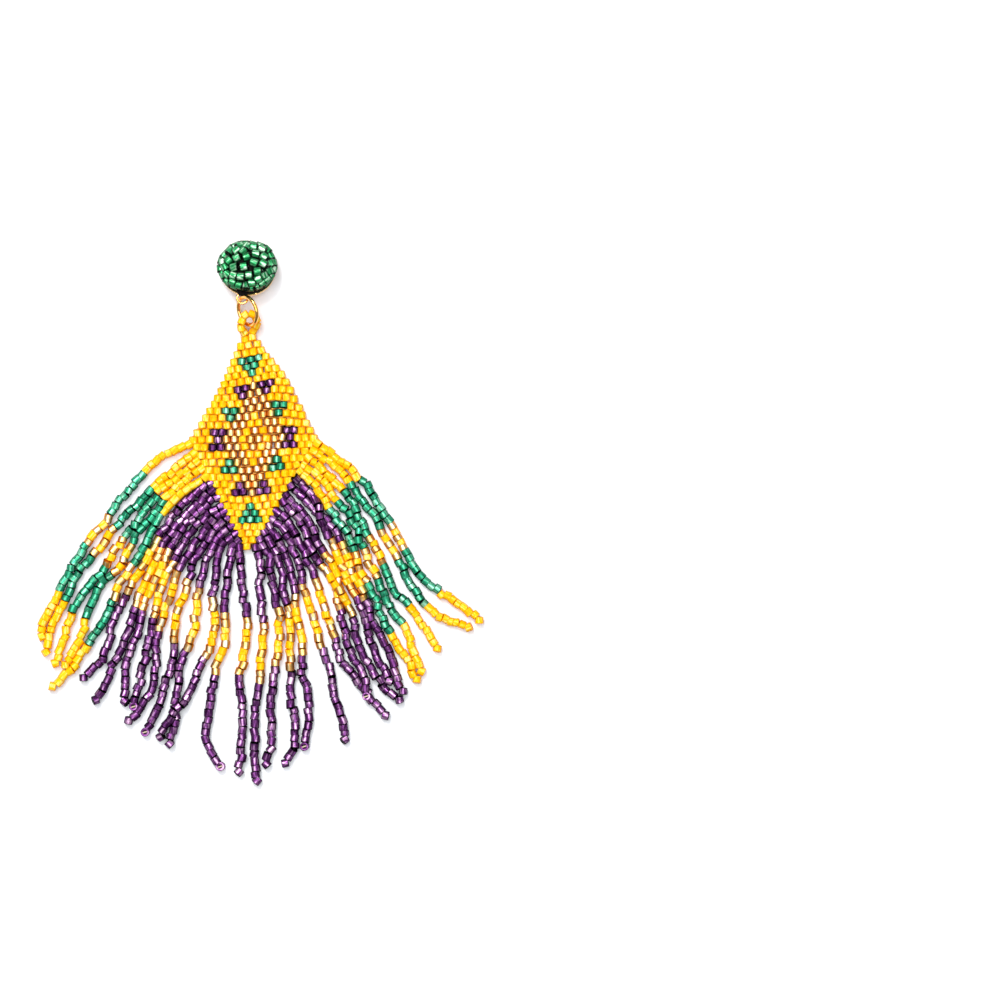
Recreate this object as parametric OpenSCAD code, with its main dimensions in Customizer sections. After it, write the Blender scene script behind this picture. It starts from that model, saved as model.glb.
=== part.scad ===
// Beaded clip earring lying face up: beaded stud, jump ring, bead loop, woven diamond and long fringe.
// Millimetres, +Z up, +Y towards the stud, and Z = 0 is the surface that the earring lies on.

/* [Beads] */
// Diameter of one cylinder seed bead
bead_d = 1.56; // [1.4:0.02:1.7]
// Distance from bead to bead across a row of the diamond
bead_pitch = 1.6; // [1.58:0.02:1.7]
// Distance from row to row of the diamond
row_pitch = 1.43; // [1.38:0.01:1.46]

/* [Stud] */
// Radius of the metal cup
cup_r = 5.6; // [5.2:0.1:6]
// Depth of the cup
cup_depth = 0.8; // [0.6:0.1:1]
// Thickness of the cup's wall and floor
cup_wall = 0.2; // [0.15:0.05:0.3]
// How far the stud leans towards +Y where it lies
stud_lean = 12; // [8:1:15]
// Width of the beaded dome
dome_w = 11.9; // [11:0.1:12.2]
// Length of the beaded dome
dome_l = 10.4; // [10:0.1:11]
// Height of the beaded dome above the cup's rim
dome_h = 4.8; // [4:0.1:5.5]

/* [Loops] */
// Inner radius of the loop soldered to the cup
eye_r = 0.85; // [0.8:0.05:1]
// Wire of the soldered loop
eye_wire = 0.45; // [0.4:0.05:0.5]
// Wire of the jump ring
ring_wire = 0.8; // [0.7:0.05:0.85]

/* [Clip] */
// Width of the clip behind the ear
clip_w = 4.6; // [4:0.2:6]
// Thickness of the clip's strip
clip_t = 0.5; // [0.4:0.05:0.5]

/* [Hidden] */

// Brings the middle of the earring's bounding box over the origin
centre_shift = [0.44, -0.34, 0];

bead_r = bead_d / 2;
piece_gap = 0.08;
seat_gap = 0.05;

// The diamond's rows run from 2 beads at the top to 16 across the middle and 1 at the bottom.
first_row = 2;
widest_row = 16;
last_row = 31;
first_strand_row = widest_row;
last_head_row = 29;
// Half the width of the fringe's head, a little slimmer than a bead, so that each strand stands proud of it
head_half = 0.62;
strand_sides = 8;
root_gap = 0.22;
// Room for the strands' roots beside the diamond's sloping edge, measured across a row
head_inset = (bead_r / cos(180 / strand_sides) + root_gap) * norm([bead_pitch / 2, row_pitch]) / row_pitch;

// Middle of the widest row, and how the rows wander from a straight line: row, sideways, tilt
diamond_y = 15.2;
ROW_SIDEWAYS = [[2, -3.0], [5, -2.7], [9, -2.1], [16, -2.1], [20, -2.2], [27, -2.7], [31, -3.2]];
ROW_TILT = [[2, 8], [5, 9], [9, 5], [12, 1], [16, 1], [20, 3.5], [23, 2.5], [27, 0], [31, 0]];

// Strands of the fringe from the widest row downwards. Each row of the table is one strand, and its
// columns are the points that it runs through on the surface, X and Y, from its first bend to its tip.
// A third number is the height of the strand's middle where it rides over another strand.
over = 2.2;
LEFT_STRANDS = [
    [[-20, 12], [-26.5, 5.5], [-35, -5.5], [-41, -15.5], [-44, -21], [-44.5, -25]],
    [[-19.5, 7.5], [-26, 1.5], [-33.5, -7], [-37.5, -12.5], [-42, -22], [-44, -28]],
    [[-18.5, 6.5], [-24.5, 0], [-31, -9.5], [-36, -15.5], [-39, -21], [-41.5, -30.5]],
    [[-17.5, 5.5], [-24, -2], [-28.5, -9.5], [-35, -17.5], [-36, -24, over], [-40, -30.5, over]],
    [[-19.5, 1.5], [-23, -4.5], [-28.5, -13.5], [-32.5, -22.5], [-36.5, -27.5], [-42.5, -35]],
    [[-16, 2.5], [-21.5, -6], [-26.5, -14], [-30, -20.5], [-31, -26.5], [-36, -33.5]],
    [[-15, 1], [-20, -5.5], [-23.5, -13.5], [-27, -22], [-29, -28.5], [-34, -37.5]],
    [[-14.5, -0.5], [-19, -7], [-22.5, -14], [-25, -22.5], [-27.5, -30.5], [-27.5, -38]],
    [[-14, -2.5], [-18, -9.5], [-21, -16], [-22.5, -23.5], [-24.5, -31.5], [-26, -39, over]],
    [[-12, -3], [-16.5, -10.5], [-19.5, -18], [-21.5, -27], [-22.5, -36], [-27.5, -41.5]],
    [[-11, -4], [-14.5, -11.5], [-17.5, -20.5], [-18, -27], [-20, -35.5], [-24, -44]],
    [[-10, -5.5], [-12.5, -12], [-13.5, -21.5], [-16, -28], [-17.5, -37], [-18.5, -46.5]],
    [[-8.5, -6.5], [-10, -13], [-10, -24], [-12.5, -30.5], [-17, -38.5, over], [-21, -45]],
    [[-7, -8], [-7.5, -16], [-8, -26], [-10.5, -35], [-11.5, -45], [-8.5, -51]],
    [[-5.5, -5.5], [-5, -8.5], [-4, -15], [-3.5, -25], [-5, -34], [-4, -43], [-5.5, -52]]
];
RIGHT_STRANDS = [
    [[15, 11.5], [21.5, 4.5], [25.5, -2], [29.5, -10], [36, -16], [44, -21]],
    [[14, 10], [19.5, 3.5], [25, -5.5], [29, -13], [33, -19], [41.5, -23]],
    [[13.5, 7.5], [19, 0], [23, -8], [25.5, -14], [29, -18.5], [35.5, -27]],
    [[13, 5.5], [18, -2], [21, -9], [24, -16], [28.5, -23.5], [31.5, -32, over]],
    [[12.5, 2], [17, -5], [20, -12], [23.5, -20], [27.5, -27], [31, -33.5]],
    [[10, 4.5, over], [12.5, -2.5], [16, -10], [19.5, -19], [22, -26.5], [25, -34, over]],
    [[9, 2.5], [14, -3], [18, -12.5], [22, -21], [25, -28], [28, -36]],
    [[8, -0.5], [12, -7], [15, -14], [16, -23.5], [19, -30.5, over], [21, -37, over]],
    [[7, -0.5], [10, -7.5], [15, -14.5, over], [18, -21.5], [20, -29], [27.5, -37.5]],
    [[5.5, -2.5], [9, -10], [12.5, -19], [15, -27.5], [20, -34.5], [25, -40.5]],
    [[5.5, -5], [8, -14], [10.5, -23], [13, -30.5], [14.5, -37.5], [17, -45.5]],
    [[3.5, -6], [6, -14], [7, -23], [8, -31], [9, -40], [8.5, -47]],
    [[3, -8.5], [4.5, -17], [5.5, -25], [5, -33], [6.5, -43], [4.5, -50.5]],
    [[1.5, -9], [2, -16.5], [3.5, -23.5], [2, -31.5], [1.5, -42], [0.5, -50.5]],
    [[-0.3, -5.5], [-1, -8.5], [-0.5, -15], [0, -24], [-1, -35], [-2, -44.5], [-1, -54]]
];
// Strands side by side lie at slightly different heights
strand_step = 0.05;
strand_levels = 3;
rings_per_span = 3;

// The loop of beads that the diamond hangs by: X, Y and height, up the left side and down the right
LOOP_ROUTE = [
    [-3.9, 36.5, 1.4], [-4.5, 37.7, 2.6], [-4.0, 39.0, 3.2], [-3.2, 40.1, 3.4],
    [-2.0, 39.9, 3.2], [-1.2, 38.6, 2.5], [-1.6, 37.5, 1.4], [-2.1, 36.75, 1.0]
];

// The jump ring lies askew: rolled with its right side up, raised at the stud's end, turned from above.
ring_centre = [-3.05, 40.65, 3.35];
ring_r = 2.85;
ring_roll = 43;
ring_rise = 29;
ring_turn = 8;

// The cup's rim: its middle, with the low edge of the cup just clear of the surface
rim_low = 0.1;
rim_z = rim_low + cup_depth * cos(stud_lean) + cup_r * sin(stud_lean);
stud_at = [-3.1, 49.25, rim_z];
eye_sideways = -1.0;
eye_reach = 6.15;
eye_drop = 0.25;
felt_r = 5.3;
felt_top = 0.45;
dome_shift = 0.1;
dome_waist = 1.5;
dome_foot = 0.55;
dome_foot_w = 10.6;
dome_sides = 40;
dome_step = 12;
dome_last = 84;

// Places along the clip, measured in Y: the bend near the loop, the pad's end and the paddle's tip
clip_bend_y = 44.7;
clip_pad_end_y = 47.6;
clip_tip_y = 51.4;
clip_tip_r = 1.2;

function beads_in_row(i) = i <= widest_row ? i : 2 * widest_row - i;
function row_centre(i) = [lookup(i, ROW_SIDEWAYS), diamond_y + (widest_row - i) * row_pitch];
function row_half(i) = beads_in_row(i) * bead_pitch / 2;
function turned(p, a) = [p[0] * cos(a) - p[1] * sin(a), p[0] * sin(a) + p[1] * cos(a)];
function on_row(i, across, along) = row_centre(i) + turned([across, along], lookup(i, ROW_TILT));
// Middle of the last bead of a row, on the left (side -1) or the right (side 1)
function end_bead(i, side) = on_row(i, side * (row_half(i) - bead_pitch / 2), 0);

// A smooth curve through the points p
function held(v, n) = max(0, min(n, v));
function curve_at(p, k, t) =
    let (a = p[held(k - 1, len(p) - 1)], b = p[k], c = p[k + 1], d = p[held(k + 2, len(p) - 1)])
    0.5 * (2 * b + (c - a) * t + (2 * a - 5 * b + 4 * c - d) * t * t + (3 * b - a - 3 * c + d) * t * t * t);
function curve(p, n) = concat([for (k = [0:len(p) - 2]) for (j = [0:n - 1]) curve_at(p, k, j / n)],
                              [p[len(p) - 1]]);
function unit(v) = v / norm(v);
function heading(p, k) = unit(p[held(k + 1, len(p) - 1)] - p[held(k - 1, len(p) - 1)]);
// Sections of a tube round the route p, with a flat below
function tube_points(p, r, n) = [
    for (k = [0:len(p) - 1])
        let (d = heading(p, k), s = unit(cross(d, [0, 0, 1])), u = cross(s, d))
        for (j = [0:n - 1])
            let (a = 360 * (j + 0.5) / n)
            p[k] + (s * cos(a) + u * sin(a)) * r / cos(180 / n)
];
// Faces of a closed shell through m rings of n points
function shell_faces(m, n) = concat(
    [for (k = [0:m - 2]) for (j = [0:n - 1])
        let (j2 = (j + 1) % n)
        [k * n + j, k * n + j2, (k + 1) * n + j2, (k + 1) * n + j]],
    [[for (j = [n - 1:-1:0]) j], [for (j = [0:n - 1]) (m - 1) * n + j]]);

module tube(p, r, n) {
    polyhedron(tube_points(p, r, n), shell_faces(len(p), n), convexity = 6);
}

// A closed ring of round wire, flat about the origin
module wire_ring(r, wire) {
    rotate_extrude($fn = 64) translate([r, 0]) circle(d = wire, $fn = 24);
}

module centred() {
    translate(centre_shift) children();
}

// Puts a piece into the stud's own frame: origin at the middle of the cup's rim, Z along the dome
module on_stud() {
    translate(stud_at) rotate([-stud_lean, 0, 0]) children();
}

// The metal cup with its loop soldered to the edge
module stud_cup() {
    color("gold") centred() on_stud() {
        difference() {
            union() {
                translate([0, 0, -cup_depth]) cylinder(r = cup_r, h = cup_depth, $fn = 96);
                translate([eye_sideways, -eye_reach, -eye_drop]) wire_ring(eye_r + eye_wire / 2, eye_wire);
            }
            translate([0, 0, -cup_depth + cup_wall]) cylinder(r = cup_r - cup_wall, h = cup_depth, $fn = 96);
        }
    }
}

// The black felt that fills the cup and carries the beads
module dome_felt() {
    felt_foot = -cup_depth + cup_wall + seat_gap;
    color("black") centred() on_stud() translate([0, 0, felt_foot])
        cylinder(r = felt_r, h = felt_top - felt_foot, $fn = 96);
}

// The beaded dome, an oval shell of rings: drawn in at its foot, rounded over its waist
module bead_dome() {
    function dome_ring(half_w, z) = [
        for (j = [0:dome_sides - 1])
            let (a = 360 * j / dome_sides)
            [half_w * cos(a), half_w * sin(a) * dome_l / dome_w, z]
    ];
    rings = concat(dome_ring(dome_foot_w / 2, dome_foot),
                   [for (a = [0:dome_step:dome_last])
                       for (p = dome_ring(dome_w / 2 * cos(a), dome_waist + (dome_h - dome_waist) * sin(a))) p]);
    color("seagreen") centred() on_stud() translate([0, dome_shift, 0])
        polyhedron(rings, shell_faces(len(rings) / dome_sides, dome_sides), convexity = 2);
}

// The plain clip behind the lobe: a pad on the cup's back, a bend and a paddle on the surface
module ear_clip() {
    // Height of the cup's back above the surface at y
    function back_z(y) = rim_z - cup_depth / cos(stud_lean) - (y - stud_at[1]) * tan(stud_lean) - seat_gap;
    color("goldenrod") centred() translate([stud_at[0], 0, 0]) {
        rotate([90, 0, 90]) translate([0, 0, -clip_w / 2]) linear_extrude(clip_w)
            polygon([[clip_bend_y, 0], [clip_tip_y, 0], [clip_tip_y, clip_t / 2], [clip_tip_y - 0.6, clip_t],
                     [clip_bend_y + clip_t, clip_t], [clip_bend_y + clip_t, back_z(clip_bend_y) - 2 * clip_t],
                     [clip_bend_y + 2 * clip_t, back_z(clip_bend_y + 2 * clip_t) - clip_t],
                     [clip_pad_end_y, back_z(clip_pad_end_y) - clip_t],
                     [clip_pad_end_y, back_z(clip_pad_end_y)],
                     [clip_bend_y + clip_t, back_z(clip_bend_y + clip_t)],
                     [clip_bend_y, back_z(clip_bend_y) - clip_t]]);
        translate([0, clip_tip_y, 0]) cylinder(r = clip_tip_r, h = clip_t / 2, $fn = 48);
    }
}

// The jump ring, through the soldered loop and the loop of beads
module jump_ring() {
    color("gold") centred() translate(ring_centre) rotate([ring_rise, 0, -ring_turn]) rotate([0, -ring_roll, 0])
        wire_ring(ring_r, ring_wire);
}

// The loop of beads above the diamond
module bead_loop() {
    color("yellow") centred() tube(curve(LOOP_ROUTE, rings_per_span), bead_r, strand_sides);
}

// The woven diamond: stepped above its widest row, straight beside the heads of the fringe below it, and one
// bead wide at its tip, between the innermost strands
module woven_diamond() {
    half = row_pitch / 2;
    function step_side(i, side) = [on_row(i, side * row_half(i), half), on_row(i, side * row_half(i), -half)];
    function slope_point(i, side, along) =
        on_row(i, side * (row_half(i) - bead_pitch / 2 - head_inset), along);
    function outline(side) = concat(
        [for (i = [first_row:widest_row - 2]) for (p = step_side(i, side)) p],
        [on_row(widest_row - 1, side * row_half(widest_row - 1), half),
         on_row(widest_row - 1, side * row_half(widest_row - 1), -half + piece_gap),
         slope_point(widest_row, side, half + piece_gap)],
        [for (i = [widest_row:3:last_head_row]) slope_point(i, side, 0)],
        [slope_point(last_head_row, side, 0),
         slope_point(last_head_row, side, -half - piece_gap),
         on_row(last_row - 1, side * row_half(last_row), half - piece_gap),
         on_row(last_row, side * row_half(last_row), -half)]);
    left = outline(-1);
    right = outline(1);
    color("orange") centred() linear_extrude(bead_d)
        polygon(concat(left, [for (k = [len(right) - 1:-1:0]) right[k]]));
}

// One end bead of a row, lying along the surface
module head_bead(i, side) {
    at = end_bead(i, side);
    translate([at[0], at[1], bead_r]) rotate([90, 0, 0])
        cylinder(r = head_half, h = row_pitch, center = true, $fn = 16);
}

// Half of the fringe: the row ends are its head, and one strand hangs from each
module fringe(strands, side) {
    for (i = [first_strand_row:last_head_row - 1])
        hull() {
            head_bead(i, side);
            head_bead(i + 1, side);
        }
    for (k = [0:len(strands) - 1]) {
        root = end_bead(min(first_strand_row + k, last_head_row), side);
        low = bead_r + strand_step * (k % strand_levels);
        route = concat([[root[0], root[1], low]],
                       [for (p = strands[k]) [p[0], p[1], is_undef(p[2]) ? low : p[2]]]);
        // No strand dips towards the surface where its curve leaves for a crossing
        tube([for (p = curve(route, rings_per_span)) [p[0], p[1], max(p[2], low)]], bead_r, strand_sides);
    }
}

module fringe_left() {
    color("mediumorchid") centred() fringe(LEFT_STRANDS, -1);
}

module fringe_right() {
    color("darkorchid") centred() fringe(RIGHT_STRANDS, 1);
}

stud_cup();
dome_felt();
bead_dome();
ear_clip();
jump_ring();
bead_loop();
woven_diamond();
fringe_left();
fringe_right();
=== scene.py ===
"""Looks of the beaded earring: seed beads, thread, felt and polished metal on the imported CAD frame.

Places and sizes are worked out in millimetres, in the CAD's frame, and turned into metres where a
mesh is made.
"""

import math

import bpy
import numpy as np
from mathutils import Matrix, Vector

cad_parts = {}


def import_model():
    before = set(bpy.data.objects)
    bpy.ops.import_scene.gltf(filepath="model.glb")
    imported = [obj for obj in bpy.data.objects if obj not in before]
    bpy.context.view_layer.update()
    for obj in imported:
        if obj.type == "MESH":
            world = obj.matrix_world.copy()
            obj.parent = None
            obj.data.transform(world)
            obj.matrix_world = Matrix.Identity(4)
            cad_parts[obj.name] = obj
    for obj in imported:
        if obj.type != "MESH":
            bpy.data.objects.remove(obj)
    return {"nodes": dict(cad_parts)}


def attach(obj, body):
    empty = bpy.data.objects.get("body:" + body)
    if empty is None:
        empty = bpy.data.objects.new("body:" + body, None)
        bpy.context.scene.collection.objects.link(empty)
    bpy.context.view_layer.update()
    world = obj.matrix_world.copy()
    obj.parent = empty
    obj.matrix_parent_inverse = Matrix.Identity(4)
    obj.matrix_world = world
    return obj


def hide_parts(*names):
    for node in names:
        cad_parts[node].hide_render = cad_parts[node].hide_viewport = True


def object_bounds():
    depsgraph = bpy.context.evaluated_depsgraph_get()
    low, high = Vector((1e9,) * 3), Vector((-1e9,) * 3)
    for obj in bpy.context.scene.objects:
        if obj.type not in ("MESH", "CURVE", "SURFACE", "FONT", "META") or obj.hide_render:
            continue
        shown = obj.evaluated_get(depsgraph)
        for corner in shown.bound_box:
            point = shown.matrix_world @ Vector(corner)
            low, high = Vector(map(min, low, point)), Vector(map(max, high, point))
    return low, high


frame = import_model()
cad_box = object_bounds()

MM = 0.001
BOX_LOW, BOX_HIGH = np.array(cad_box) / MM
LEFT, RIGHT = -1, 1

# Driving dimensions, the same as in the CAD
BEAD_D = 1.56
BEAD_R = BEAD_D / 2
BEAD_PITCH = 1.6
ROW_PITCH = 1.43
FIRST_ROW, WIDEST_ROW, LAST_ROW = 2, 16, 31
FIRST_STRAND_ROW, LAST_HEAD_ROW = 16, 29
HEAD_ROWS = range(FIRST_STRAND_ROW, LAST_HEAD_ROW + 1)
DIAMOND_Y = 15.2
ROW_SIDEWAYS = [(2, -3.0), (5, -2.7), (9, -2.1), (16, -2.1), (20, -2.2), (27, -2.7), (31, -3.2)]
ROW_TILT = [(2, 8), (5, 9), (9, 5), (12, 1), (16, 1), (20, 3.5), (23, 2.5), (27, 0), (31, 0)]
CENTRE_SHIFT = np.array([0.44, -0.34, 0.0])

CUP_R, CUP_DEPTH, CUP_LIFT, STUD_LEAN = 5.6, 0.8, 0.1, math.radians(12)
RIM_Z = CUP_LIFT + CUP_DEPTH * math.cos(STUD_LEAN) + CUP_R * math.sin(STUD_LEAN)
STUD_AT = np.array([-3.1, 49.25, RIM_Z])
DOME_W, DOME_L, DOME_H, DOME_WAIST, DOME_SHIFT = 11.9, 10.4, 4.8, 1.5, 0.1

# The strings' routes on the surface, from the first bend to the tip; a third number is a height
OVER = 2.2
LEFT_STRANDS = [
    [(-20, 12), (-26.5, 5.5), (-35, -5.5), (-41, -15.5), (-44, -21), (-44.5, -25)],
    [(-19.5, 7.5), (-26, 1.5), (-33.5, -7), (-37.5, -12.5), (-42, -22), (-44, -28)],
    [(-18.5, 6.5), (-24.5, 0), (-31, -9.5), (-36, -15.5), (-39, -21), (-41.5, -30.5)],
    [(-17.5, 5.5), (-24, -2), (-28.5, -9.5), (-35, -17.5), (-36, -24, OVER), (-40, -30.5, OVER)],
    [(-19.5, 1.5), (-23, -4.5), (-28.5, -13.5), (-32.5, -22.5), (-36.5, -27.5), (-42.5, -35)],
    [(-16, 2.5), (-21.5, -6), (-26.5, -14), (-30, -20.5), (-31, -26.5), (-36, -33.5)],
    [(-15, 1), (-20, -5.5), (-23.5, -13.5), (-27, -22), (-29, -28.5), (-34, -37.5)],
    [(-14.5, -0.5), (-19, -7), (-22.5, -14), (-25, -22.5), (-27.5, -30.5), (-27.5, -38)],
    [(-14, -2.5), (-18, -9.5), (-21, -16), (-22.5, -23.5), (-24.5, -31.5), (-26, -39, OVER)],
    [(-12, -3), (-16.5, -10.5), (-19.5, -18), (-21.5, -27), (-22.5, -36), (-27.5, -41.5)],
    [(-11, -4), (-14.5, -11.5), (-17.5, -20.5), (-18, -27), (-20, -35.5), (-24, -44)],
    [(-10, -5.5), (-12.5, -12), (-13.5, -21.5), (-16, -28), (-17.5, -37), (-18.5, -46.5)],
    [(-8.5, -6.5), (-10, -13), (-10, -24), (-12.5, -30.5), (-17, -38.5, OVER), (-21, -45)],
    [(-7, -8), (-7.5, -16), (-8, -26), (-10.5, -35), (-11.5, -45), (-8.5, -51)],
    [(-5.5, -5.5), (-5, -8.5), (-4, -15), (-3.5, -25), (-5, -34), (-4, -43), (-5.5, -52)],
]
RIGHT_STRANDS = [
    [(15, 11.5), (21.5, 4.5), (25.5, -2), (29.5, -10), (36, -16), (44, -21)],
    [(14, 10), (19.5, 3.5), (25, -5.5), (29, -13), (33, -19), (41.5, -23)],
    [(13.5, 7.5), (19, 0), (23, -8), (25.5, -14), (29, -18.5), (35.5, -27)],
    [(13, 5.5), (18, -2), (21, -9), (24, -16), (28.5, -23.5), (31.5, -32, OVER)],
    [(12.5, 2), (17, -5), (20, -12), (23.5, -20), (27.5, -27), (31, -33.5)],
    [(10, 4.5, OVER), (12.5, -2.5), (16, -10), (19.5, -19), (22, -26.5), (25, -34, OVER)],
    [(9, 2.5), (14, -3), (18, -12.5), (22, -21), (25, -28), (28, -36)],
    [(8, -0.5), (12, -7), (15, -14), (16, -23.5), (19, -30.5, OVER), (21, -37, OVER)],
    [(7, -0.5), (10, -7.5), (15, -14.5, OVER), (18, -21.5), (20, -29), (27.5, -37.5)],
    [(5.5, -2.5), (9, -10), (12.5, -19), (15, -27.5), (20, -34.5), (25, -40.5)],
    [(5.5, -5), (8, -14), (10.5, -23), (13, -30.5), (14.5, -37.5), (17, -45.5)],
    [(3.5, -6), (6, -14), (7, -23), (8, -31), (9, -40), (8.5, -47)],
    [(3, -8.5), (4.5, -17), (5.5, -25), (5, -33), (6.5, -43), (4.5, -50.5)],
    [(1.5, -9), (2, -16.5), (3.5, -23.5), (2, -31.5), (1.5, -42), (0.5, -50.5)],
    [(-0.3, -5.5), (-1, -8.5), (-0.5, -15), (0, -24), (-1, -35), (-2, -44.5), (-1, -54)],
]
LOOP_ROUTE = [
    (-3.9, 36.5, 1.4), (-4.5, 37.7, 2.6), (-4.0, 39.0, 3.2), (-3.2, 40.1, 3.4),
    (-2.0, 39.9, 3.2), (-1.2, 38.6, 2.5), (-1.6, 37.5, 1.4), (-2.1, 36.75, 1.0),
]

# Where the camera stands
SEEN_FROM = np.array([47.64, 2.66, 750.0])

# Where the woven rows stray from their straight lines: each area's middle, its reach across, up
# and down, and the stray itself
ROW_STRAYS = [
    ((2.0, 22.5), (4.6, 8.6, 5.4), (0.2, 1.15)),
    ((-3.0, 4.0), (5.5, 7.5, 7.5), (0.0, -0.7)),
    ((-3.0, 17.0), (9.0, 6.0, 6.0), (0.3, 0.0)),
]

# The strings' colours from the head to the tip: runs of a colour and how many beads
Y, G, M, P, D = "yellow", "green", "gold", "purple", "dome green"
OUTER_RUNS = [(Y, 8), (G, 8), (M, 1), (Y, 1), (M, 1), (Y, 1), (M, 1), (G, 8), (Y, 8)]
INNER_RUNS = [(P, 11), (M, 2), (Y, 2), (M, 1), (Y, 2), (M, 2), (P, 14)]
OUTER_STRANDS = 5

# Strings, counted from the outermost, whose last bead shows its hole
TIPS_ON_END = {LEFT: (9, 11, 14), RIGHT: (8, 12)}

# Beads of the dome inside its edge ring, as seen from the camera: across and up from DOME_SEEN_AT,
# and the hole's turn from sideways in degrees, or None where the bead stands on end
DOME_SEEN_AT = np.array([-2.76, 49.66])
DOME_CHART = [
    (-1.8, 3.7, 45), (-1.3, 2.9, 50), (-0.4, 3.4, 65), (1.1, 3.6, -15), (2.9, 3.1, -40),
    (-3.1, 2.8, 50), (-2.4, 2.9, 45), (-2.2, 1.5, 35), (-0.3, 1.7, 20), (1.5, 2.3, -5),
    (3.1, 1.7, -30), (-3.9, 0.9, 40), (-5.1, 0.6, 70), (1.2, 0.5, -25), (3.0, 0.3, -25),
    (4.5, 0.3, -40), (-2.7, -0.4, 0), (-0.8, -0.3, 8), (-4.6, -0.5, -60), (1.9, -1.3, 8),
    (4.1, -0.9, -45), (-4.1, -1.6, -40), (-3.0, -2.3, -15), (-1.4, -2.3, 0), (0.2, -2.0, 3),
    (3.4, -1.9, -55), (0.8, -3.6, 8), (2.1, -3.4, 15), (4.0, -3.3, 45), (3.0, -3.9, 20),
    (-1.6, -4.1, 0), (-2.8, -4.0, -25), (-0.2, -4.5, None),
]


# Routes and rows

NEARLY_UPRIGHT = 0.9


def looked_up(table, i):
    """A table's value at row i, or between its rows."""
    rows, values = zip(*table)
    return float(np.interp(i, rows, values))


def beads_in_row(i):
    return i if i <= WIDEST_ROW else 2 * WIDEST_ROW - i


def row_tilt(i):
    return math.radians(looked_up(ROW_TILT, i))


def row_stray(x, y):
    """How far the woven rows stray at a place, across and up."""
    stray = np.zeros(2)
    for (x0, y0), (wide, above, below), way in ROW_STRAYS:
        reach = ((x - x0) / wide) ** 2 + ((y - y0) / (above if y > y0 else below)) ** 2
        stray += np.array(way) * math.exp(-reach)
    return stray


def on_row(i, across, up, z=BEAD_R):
    """A place across and up from the middle of row i."""
    a = row_tilt(i)
    x = looked_up(ROW_SIDEWAYS, i) + across * math.cos(a) - up * math.sin(a)
    y = DIAMOND_Y + (WIDEST_ROW - i) * ROW_PITCH + across * math.sin(a) + up * math.cos(a)
    return np.array([x, y, z]) + CENTRE_SHIFT + [*row_stray(x, y), 0.0]


def row_bead(i, k):
    """Middle of bead k of row i, counted from the left."""
    return on_row(i, (k - (beads_in_row(i) - 1) / 2) * BEAD_PITCH, 0)


def end_bead(side, i):
    """Middle of the left or right end bead of row i."""
    return row_bead(i, 0 if side == LEFT else beads_in_row(i) - 1)


def row_axis(i):
    a = row_tilt(i)
    return np.array([-math.sin(a), math.cos(a), 0.0])


def smooth_curve(points, steps=12):
    """A Catmull-Rom curve through the points, with so many steps to a span."""
    p = np.array([points[0], *points, points[-1]], float)
    out = []
    for k in range(1, len(p) - 2):
        a, b, c, d = p[k - 1 : k + 3]
        for t in np.arange(steps) / steps:
            square = (2 * a - 5 * b + 4 * c - d) * t**2
            cube = (3 * b - a - 3 * c + d) * t**3
            out.append(0.5 * (2 * b + (c - a) * t + square + cube))
    return np.array([*out, p[-1]])


def run_along(path):
    """Each point's distance from the start, along the path."""
    steps = np.linalg.norm(np.diff(path, axis=0), axis=1)
    return np.concatenate([[0], np.cumsum(steps)])


def at_distances(path, distances):
    """Points at these distances along a path."""
    run = run_along(path)
    return np.stack([np.interp(distances, run, path[:, k]) for k in range(3)], 1)


def unit(v):
    return v / np.linalg.norm(v, axis=-1, keepdims=True)


def crosswise(axis):
    """Two ways at right angles to each axis and to each other."""
    flat = np.abs(axis[:, 2:]) < NEARLY_UPRIGHT
    up = np.where(flat, np.array([[0, 0, 1.0]]), np.array([[0, 1.0, 0]]))
    side = unit(np.cross(axis, up))
    return side, np.cross(side, axis)


def stud_turned(ways):
    """Ways in the stud's own frame, whose origin is the middle of the cup's rim, as the CAD's."""
    c, s = math.cos(STUD_LEAN), math.sin(STUD_LEAN)
    return np.asarray(ways) @ np.array([[1, 0, 0], [0, c, -s], [0, s, c]])


def in_stud(points):
    """Points in the stud's own frame, as points in the CAD's."""
    return stud_turned(points) + STUD_AT + CENTRE_SHIFT


# Materials

BLACK, WHITE = (0.0, 0.0, 0.0), (1.0, 1.0, 1.0)

# A bead's texture: the turn that faces up, where its painted light is brightest, the scale of its
# streaks, which give it random tone and painted glints, how much its own tint counts, and how uneven
# and soft the edge is between its painted lit back and its painted shaded flanks
TOP_TURN, STREAKS, TINT_SHARE, UNEVEN_EDGE, SOFT_EDGE = 0.25, (13.0, 0.9, 1.0), 0.35, 0.08, 0.09

# Each glass's colours and gloss: body's last colour is a painted glint, side the painted shade of the
# flanks, shade the painted shade near the ends, and back how far the painted lit top reaches
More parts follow.
